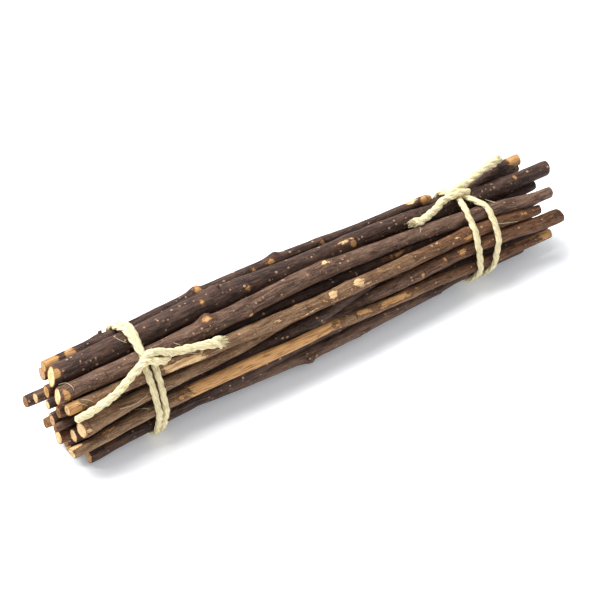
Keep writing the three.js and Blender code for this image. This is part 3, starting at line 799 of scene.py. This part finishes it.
    def rope(self, mesh: MeshBuilder, rng: np.random.Generator, line: np.ndarray, fray: float,
             pressed_to: np.ndarray | None = None) -> float:
        """Lays twisted plies along a line, with fuzz, and opens the far end into a brush.

        Args:
            mesh: Where the surface goes.
            rng: Random numbers of this tie.
            line: The twine's middle.
            fray: How wide the far end opens, in millimetres; 0 leaves it plain.
            pressed_to: Middle of the bundle, for twine that is pulled flat on it.

        Returns:
            The length of the twine, in millimetres.
        """
        side, other = side_vectors(line)
        if pressed_to is not None:
            ahead = unit(np.gradient(line, axis=0))
            outward = (line - pressed_to) * [0.0, 1.0, 1.0]
            outward = unit(outward - ahead * np.sum(outward * ahead, axis=1, keepdims=True))
            side, other = np.cross(ahead, outward) * 0.86, outward * (self.taut / self.thickness)
        run = np.concatenate([[0.0], np.cumsum(np.linalg.norm(np.diff(line, axis=0), axis=1))])
        opened = np.clip(1.0 - (run[-1] - run) / 7.0, 0.0, 1.0) ** 1.5 * fray
        uneven = 1.0 + 0.05 * np.sin(run * 0.9 + rng.uniform(0, 6))
        uneven = uneven + 0.04 * np.sin(run * 2.3 + rng.uniform(0, 6))
        phase = rng.uniform(0, 6.3)
        for number in range(self.plies):
            turn = phase + 2 * math.pi * (number / self.plies + run / self.twist_length)
            away = self.thickness * 0.215 * uneven + opened * 0.30
            middle = line + (side * np.cos(turn)[:, None] + other * np.sin(turn)[:, None]) * away[:, None]
            radii = self.thickness * 0.315 * uneven * (1.0 + 0.12 * opened)
            self.ply(mesh, rng, middle, side, other, run, radii)
        self.fuzz(mesh, rng, line, side, other)
        if fray > 0.0:
            self.brush(mesh, rng, line, side, other, fray)
        return float(run[-1])

    def ply(self, mesh: MeshBuilder, rng: np.random.Generator, line: np.ndarray, side: np.ndarray,
            other: np.ndarray, run: np.ndarray, radii: np.ndarray) -> None:
        """One strand of the twine, with the ridges of its fibres."""
        sides = 16
        angles = np.linspace(0.0, 2 * math.pi, sides, endpoint=False)[None, :]
        ridges = np.zeros((len(line), sides))
        for count, size in ((2, 0.06), (3, 0.06), (5, 0.05), (7, 0.04)):
            spin = run[:, None] * rng.uniform(0.7, 1.5)
            ridges += size * np.cos(count * angles + spin + rng.uniform(0, 6.3))
        ridges += rng.normal(0.0, 0.035, ridges.shape)
        far = radii[:, None] * (1.0 + ridges)
        ring = side[:, None] * np.cos(angles)[..., None] + other[:, None] * np.sin(angles)[..., None]
        points = line[:, None] + ring * far[..., None]
        points[-1] = line[-1] + (points[-1] - line[-1]) * 0.6
        faces = np.vstack([wall_faces(len(line), sides), end_fans(len(line), sides)])
        mesh.add(points.reshape(-1, 3), faces, 0, run=np.repeat(run, sides),
                 round=np.tile(angles[0], len(line)))

    def fuzz(self, mesh: MeshBuilder, rng: np.random.Generator, line: np.ndarray, side: np.ndarray,
             other: np.ndarray) -> None:
        """Fine fibre ends that stand off the twine."""
        ahead = unit(np.gradient(line, axis=0))
        for _ in range(int(len(line) * 0.9)):
            at = rng.integers(2, len(line) - 2)
            turn = rng.uniform(0, 2 * math.pi)
            outward = side[at] * math.cos(turn) + other[at] * math.sin(turn)
            base = line[at] + outward * self.thickness * 0.46
            lean = ahead[at] * rng.choice([-1.0, 1.0]) * rng.uniform(0.5, 1.8)
            rise = outward * rng.uniform(0.05, 0.55)
            t = np.linspace(0.0, 1.0, 5)[:, None]
            curl = np.cross(outward, ahead[at]) * rng.uniform(-0.4, 0.4)
            fibre = base + lean * t + rise * t**1.4 + curl * t**2
            mesh.tube(fibre, np.linspace(0.07, 0.03, 5), 3, 0, run=np.linspace(0, 2, 5))

    def brush(self, mesh: MeshBuilder, rng: np.random.Generator, line: np.ndarray, side: np.ndarray,
              other: np.ndarray, width: float) -> None:
        """The frayed end: fibres that fan out of the twine."""
        ahead = unit(np.gradient(line, axis=0))[-1]
        for number in range(int(60 + 50 * width)):
            start = line[-1 - rng.integers(1, 7)]
            turn = rng.uniform(0, 2 * math.pi)
            share = math.sqrt(rng.random())
            outward = side[-1] * math.cos(turn) + other[-1] * math.sin(turn)
            base = start + outward * share * self.thickness * 0.40
            thick = 0.26 if number % 3 else 0.10
            length = rng.uniform(1.4, 2.6) + (0.0 if number % 3 else 0.8)
            t = np.linspace(0.0, 1.0, 6)[:, None]
            sag = np.cross(outward, ahead) * rng.uniform(-0.5, 0.5)
            fibre = base + ahead * length * t + outward * share * width * 0.32 * t**1.2 + sag * t**2
            mesh.tube(fibre, np.linspace(thick, thick * 0.55, 6), 5, 0, run=np.linspace(0, length, 6))


@dataclass(frozen=True)
class Studio:
    """A pale floor, soft light from above and the camera."""

    azimuth: float = -36.3
    elevation: float = 37.4
    distance: float = 900.0
    target: tuple[float, float, float] = (-2.75, 0.98, 17.5)
    sensor: float = 36.0
    focal: float = 167.4
    floor_glow: float = 0.20

    def camera(self) -> bpy.types.Object:
        """Makes the camera that looks at the bundle from the front left."""
        az, el = math.radians(self.azimuth), math.radians(self.elevation)
        back = Vector((math.sin(az) * math.cos(el), -math.cos(az) * math.cos(el), math.sin(el)))
        lens = bpy.data.cameras.new("camera")
        lens.sensor_width = self.sensor
        lens.lens = self.focal
        lens.clip_start = 0.01
        eye = bpy.data.objects.new("camera", lens)
        eye.location = (Vector(self.target) + back * self.distance) * MM
        eye.rotation_euler = back.to_track_quat("Z", "Y").to_euler()
        bpy.context.scene.collection.objects.link(eye)
        bpy.context.scene.camera = eye
        return eye

    def floor(self) -> bpy.types.Object:
        """Makes the floor that the bundle lies on, which glows a little to lighten the shadow."""
        mesh = bpy.data.meshes.new("floor")
        half = 3.0
        corners = [(-half, -half, 0), (half, -half, 0), (half, half, 0), (-half, half, 0)]
        mesh.from_pydata(corners, [], [(0, 1, 2, 3)])
        s = Shader("floor_paper")
        paper = s.finish((0.93, 0.935, 0.95, 1.0), 0.9, 0.0, 0.0, 0.1)
        glow = paper.node_tree.nodes["Principled BSDF"].inputs
        glow["Emission Color"].default_value = (0.90, 0.95, 1.0, 1.0)
        glow["Emission Strength"].default_value = self.floor_glow
        mesh.materials.append(paper)
        floor = bpy.data.objects.new("floor", mesh)
        bpy.context.scene.collection.objects.link(floor)
        return floor

    def lights(self) -> None:
        """Lights the set from all round, with more from above and behind the left end."""
        world = bpy.data.worlds.new("studio")
        world.use_nodes = True
        world.node_tree.nodes["Background"].inputs["Color"].default_value = (0.97, 0.98, 1.0, 1.0)
        world.node_tree.nodes["Background"].inputs["Strength"].default_value = 0.52
        bpy.context.scene.world = world
        self.lamp("key", (-0.35, 0.38, 0.95), 0.8, 23.5)
        self.lamp("fill", (0.25, -0.8, 0.75), 0.9, 1.5)

    def lamp(self, name: str, place: tuple[float, float, float], size: float, power: float) -> None:
        """Adds a square lamp that faces the bundle."""
        light = bpy.data.lights.new(name, "AREA")
        light.size = size
        light.energy = power
        lamp = bpy.data.objects.new(name, light)
        lamp.location = place
        lamp.rotation_euler = Vector(place).to_track_quat("Z", "Y").to_euler()
        bpy.context.scene.collection.objects.link(lamp)


def make_twigs() -> list[Twig]:
    """Every twig of the bundle, with what shows on it."""
    return front_twigs() + edge_twigs() + inner_twigs()


def front_twigs() -> list[Twig]:
    """The twigs that face the front."""
    plum, grey, tan = BarkTone.PLUM, BarkTone.GREY, BarkTone.TAN
    russet, dark = BarkTone.RUSSET, BarkTone.DARK
    pale = Peel.PALE
    return [
        Twig("twig_thick_front", plum, 1, slant=(0.35, 0.0), dots=0.7, patches=(
            Patch(-98.0, -94.6, 5, 32), Patch(12.0, 18.6, 19, 9, pale), Patch(16.8, 19.6, -12, 26),
            Patch(-25.8, -23.6, -15, 18), Patch(-42.6, -41.0, 15, 16), Patch(87.2, 88.6, 22, 26)),
            knobs=(Knob(-35.3, 48, 0.9, True), Knob(-24.8, -15, 0.5), Knob(18.5, -8, 0.6),
                   Knob(86.0, 12, 0.7))),
        Twig("twig_front_upper", grey, 2, slant=(0.35, 0.0), dots=0.55, patches=(
            Patch(-98.0, -95.6, -20, 60), Patch(-46.0, -42.0, 42, 18), Patch(1.0, 5.6, 40, 15, pale),
            Patch(-29.8, -28.2, -50, 12, pale)),
            knobs=(Knob(-42.8, 70, 1.1), Knob(-83.3, 0, 0.3), Knob(3.2, 45, 0.6), Knob(-28.8, -45, 0.7))),
        Twig("twig_front_lower", tan, 3, far_tone=russet, dots=0.35, patches=(
            Patch(-100.0, -93.4), Patch(-66.0, -48.6, -22, 40, pale), Patch(-13.6, -11.4, 72, 24),
            Patch(-14.0, -6.6, -48, 11, pale), Patch(-22.2, -20.0, -5, 9, pale), Patch(-4.2, -2.6, 0, 16),
            Patch(-1.2, 2.8, 12, 36, pale), Patch(1.8, 4.2, 78, 20, pale), Patch(8.8, 13.6, 12, 34, pale),
            Patch(10.6, 17.0, -28, 11, pale), Patch(2.4, 11.4, -15, 4, pale), Patch(-0.2, 6.8, -50, 6, pale),
            Patch(19.0, 22.6, 52, 12), Patch(31.6, 34.0, 46, 9, pale), Patch(44.6, 46.4, 38, 12, pale),
            Patch(52.0, 56.0, 12, 5, pale), Patch(55.2, 60.2, -24, 20), Patch(27.4, 28.6, -10, 22),
            Patch(81.0, 84.6, 5, 18)),
            knobs=(Knob(-30.8, -20, 0.4), Knob(-10.8, -10, 0.4), Knob(34.0, 20, 0.4))),
        Twig("twig_slim_dark", dark, 5, dots=0.3, cut=CutTone.CREAM, patches=(Patch(27.0, 35.0, 5, 26),)),
        Twig("twig_front_left", tan, 6, slant=(0.0, 0.1), dots=0.3, patches=(
            Patch(-97.0, -95.4, 0, 70), Patch(-95.0, -93.2, -28, 16, pale)),
            knobs=(Knob(-94.6, 5, 0.35), Knob(-47.0, 10, 0.3, True))),
        Twig("twig_pair_left", plum, 20, dots=0.5, knobs=(Knob(-4.0, 10, 0.4),)),
        Twig("twig_front_right", grey, 7, far_tone=russet, dots=0.3, cut=CutTone.BROWN, patches=(
            Patch(53.0, 56.2, 8, 30), Patch(46.2, 47.4, 5, 34), Patch(35.6, 37.0, -25, 26)),
            knobs=(Knob(36.4, -20, 0.7), Knob(47.0, 0, 0.35), Knob(93.0, 0, 0.3))),
        Twig("twig_peeled", tan, 8, far_tone=russet, slant=(-0.2, 0.0), dots=0.3, patches=(
            Patch(-101.0, -95.0, 65, 45, pale), Patch(-89.0, -84.0, 38, 14), Patch(-57.6, 0.6, 5, 120),
            Patch(-61.2, -58.8, -15, 20), Patch(8.0, 14.6, 22, 42), Patch(17.0, 31.6, 12, 46),
            Patch(33.4, 35.0, 25, 12), Patch(6.0, 7.4, -10, 14, pale), Patch(76.0, 90.0, 55, 30),
            Patch(88.0, 101.0, 15, 80)),
            knobs=(Knob(-57.8, 20, 0.35), Knob(7.0, -5, 0.5))),
    ]


def edge_twigs() -> list[Twig]:
    """The twigs along the top and the bottom edge."""
    plum, grey, russet = BarkTone.PLUM, BarkTone.GREY, BarkTone.RUSSET
    return [
        Twig("twig_top_back", plum, 4, cut=CutTone.OCHRE, dots=0.4, patches=(
            Patch(-99.0, -90.0), Patch(-88.0, -84.0, 10, 80), Patch(-38.4, -35.8, 35, 50),
            Patch(-17.0, -15.6, 0, 30), Patch(-11.4, -8.0, 5, 26), Patch(10.0, 11.8, -5, 30),
            Patch(47.0, 51.6, 60, 50, Peel.PALE), Patch(52.4, 61.0, 10, 90)),
            knobs=(Knob(-74.2, 80, 0.45, True), Knob(-37.0, 60, 1.0), Knob(-6.5, 60, 0.9),
                   Knob(11.0, 20, 0.5),
                   Knob(54.0, 20, 0.7))),
        Twig("twig_low_left", plum, 9, cut=CutTone.OCHRE, dots=0.45,
             knobs=(Knob(-88.0, 10, 0.4), Knob(-43.8, -80, 0.7), Knob(-20.0, 0, 0.3))),
        Twig("twig_low_right", grey, 10, far_tone=plum, cut=CutTone.BROWN, dots=0.4, patches=(
            Patch(-7.4, -6.0, -42, 14), Patch(69.0, 90.0, 10, 20)),
            knobs=(Knob(-8.8, -50, 1.1), Knob(46.2, -35, 0.5))),
        Twig("twig_top_right", plum, 11, cut=CutTone.PINK, patches=(
            Patch(-96.0, -92.6, 20, 80), Patch(90.0, 101.0, 15, 75)), knobs=(Knob(86.2, 30, 0.5),)),
        Twig("twig_top_under", grey, 12, cut=CutTone.BROWN),
        Twig("twig_long_left", plum, 13, cut=CutTone.BROWN, far_tone=russet),
    ]


def inner_twigs() -> list[Twig]:
    """The twigs inside the bundle and along its back."""
    plum, grey, tan, russet = BarkTone.PLUM, BarkTone.GREY, BarkTone.TAN, BarkTone.RUSSET
    return [
        Twig("twig_core_high", grey, 14, far_tone=russet, fullness=1.12),
        Twig("twig_under_thick", russet, 15, cut=CutTone.OCHRE, fullness=1.12),
        Twig("twig_core_front", russet, 16, cut=CutTone.BROWN, fullness=1.12),
        Twig("twig_core_middle", grey, 17, cut=CutTone.PINK, fullness=1.12),
        Twig("twig_core_back", tan, 18, cut=CutTone.BROWN, patches=(Patch(-99.0, -92.0),)),
        Twig("twig_core_low", russet, 19, cut=CutTone.CREAM, fullness=1.12),
        Twig("twig_low_core", plum, 21, cut=CutTone.BROWN),
        Twig("twig_floor_front", plum, 22, cut=CutTone.OCHRE),
        Twig("twig_floor_middle", grey, 23),
        Twig("twig_floor_back", russet, 24, patches=(Patch(-30.0, 12.0, 200, 60),)),
        Twig("twig_back_low", plum, 25, cut=CutTone.OCHRE, patches=(Patch(20.0, 27.0, 170, 30),)),
        Twig("twig_back_middle", grey, 26, patches=(Patch(-50.0, -45.0, 150, 24),)),
    ]


def make_ties() -> list[Tie]:
    """The two ties."""
    left = Tie(
        node="twine_tie_left", seed=101, x=-68.25, hold=(-1.2, 1.0), knot_angle=12.0, way=1.0,
        sideways=((-1.2, -1.1, -0.4, 0.2, 0.4, 0.2, -0.2, -1.3, -1.9),
                  (-1.4, 1.2, 2.1, 2.6, 2.8, 2.6, 2.1, 1.5, 1.3)),
        tails=(((6.4, -1.4, -0.2), (5.0, -2.2, 0.5), (2.9, -2.0, 1.3), (0.6, -1.1, 1.8), (-2.0, -0.2, 1.9),
                (-6, -1.7, 0.6), (-13, -5.1, -0.8), (-20, -6.9, -1.6), (-25, -7.6, -2.1),
                (-29.2, -7.8, -2.4)),
               ((-3.0, -0.8, 0.2), (-1.8, 0.8, 1.5), (0.8, 1.5, 2.2), (3.6, 0.8, 2.0), (7.0, -0.7, 1.0),
                (11, -1.5, 0.2), (15, -2.1, 0), (21, -3.3, -0.2), (25, -4.1, -0.3))),
        frays=(0.0, 2.6), hole=(4.0, -0.7, 1.6), strays=(
            ((-28.2, 4.2), (-26.4, 3.6), (-26.0, 1.0), (-25.3, -2.0)),
            ((-28.8, -2.0), (-26.5, -3.4), (-23.6, -5.2)), ((-25.4, -2.2), (-22.6, -3.9), (-20.0, -6.0)),
            ((-5.0, 10.8), (-4.4, 9.0), (-2.8, 7.4)), ((-14.0, -10.2), (-9.0, -10.8), (-3.6, -9.9)),
            ((-6.0, -12.4), (-4.6, -13.0), (-3.2, -14.0)),
            ((3.6, -10.0), (5.6, -10.4), (5.0, -11.6), (3.4, -11.2)),
            ((12.0, -1.6), (14.2, -3.2), (17.0, -4.6)), ((10.4, 1.6), (12.2, 0.2), (13.4, -1.0))),
    )
    right = Tie(
        node="twine_tie_right", seed=102, x=64.25, hold=(-1.4, -1.4), knot_angle=64.0, way=-1.0,
        sideways=((1.2, 5.2, 4.9, 2.6, 0.4, 0.6, 1.0, 1.0, 0.4),
                  (0.4, -3.0, -3.9, -3.2, -4.2, -3.0, -1.8, -1.2, -0.6)),
        tails=(((4.0, -1.4, 1.4), (1.5, -0.6, 2.3), (-1.5, -0.4, 2.4), (-7.2, -0.8, 2.5), (-11, -2.2, 3.5),
                (-15.3, -3.2, 4.5), (-19.5, -4.0, 5.3), (-22.4, -3.6, 5.7)),
               ((-4.5, -1.0, 1.0), (-2.0, 0.8, 1.6), (1.0, 1.3, 1.5), (5, 1.6, 0.7), (11, 3.0, 0.5),
                (16, 4.0, 0.4), (20.5, 4.6, 0.3))),
        frays=(0.9, 1.3), hole=(-0.6, -0.9, 2.6), strays=(
            ((-20.8, -4.6), (-21.8, -6.0), (-23.0, -7.2)), ((8.0, -4.2), (10.2, -6.0), (9.6, -8.0)),
            ((4.0, -5.0), (4.8, -7.0), (5.6, -8.4)), ((6.4, -15.0), (11.0, -16.2), (15.0, -17.0))),
    )
    return [left, right]


def hand_over(piece: bpy.types.Object, node: str) -> None:
    """Parents a finished piece to the root body, hides the solid it stands for and reports it."""
    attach(piece, "root")
    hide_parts(node)
    LOG.info("%s: %d faces", piece.name, len(piece.data.polygons))


def main() -> None:
    """Builds the set, the twigs and the ties in order."""
    logging.basicConfig(level=logging.INFO, format="%(name)s %(message)s")
    bpy.context.scene.view_settings.view_transform = "Standard"
    studio = Studio()
    studio.camera()
    studio.floor()
    studio.lights()
    twigs = make_twigs()
    for twig in twigs:
        hand_over(twig.make(), twig.node)
    for tie in make_ties():
        hand_over(tie.make(twigs), tie.node)


if __name__ == "__main__":
    main()
